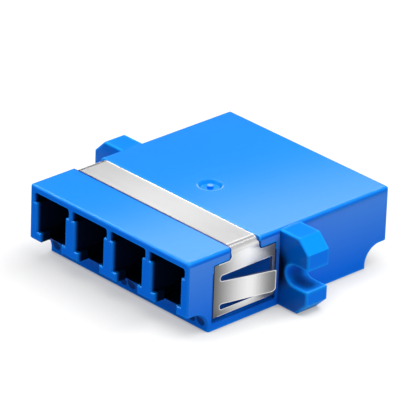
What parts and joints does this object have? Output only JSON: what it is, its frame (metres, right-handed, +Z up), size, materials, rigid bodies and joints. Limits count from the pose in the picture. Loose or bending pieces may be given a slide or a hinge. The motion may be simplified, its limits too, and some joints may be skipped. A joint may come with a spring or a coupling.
{
  "type": "lc fibre adapter",
  "caption": "Flanged LC fibre adapter in a blue moulded body with a row of plug ports at each end, a folded spring-steel panel clip over the top, and split alignment sleeves inside.",
  "frame": {"origin": "on the flat underside, straight below the middle of the flange", "axes": "+X along the row of ports, +Y from the front ports to the rear ports, +Z up through the clip's strip"},
  "size_m": [0.0348, 0.0306, 0.0093],
  "materials": {
    "housing": "satin",
    "clip": "satin",
    "sleeve": "polished",
    "retainer": "satin"
  },
  "bodies": {
    "root": {"housing": "housing", "panel_clip": "clip", "split_sleeve_1": "sleeve", "split_sleeve_2": "sleeve", "split_sleeve_3": "sleeve", "split_sleeve_4": "sleeve", "sleeve_retainer_1": "retainer", "sleeve_retainer_2": "retainer", "sleeve_retainer_3": "retainer", "sleeve_retainer_4": "retainer"}
  },
  "joints": []
}
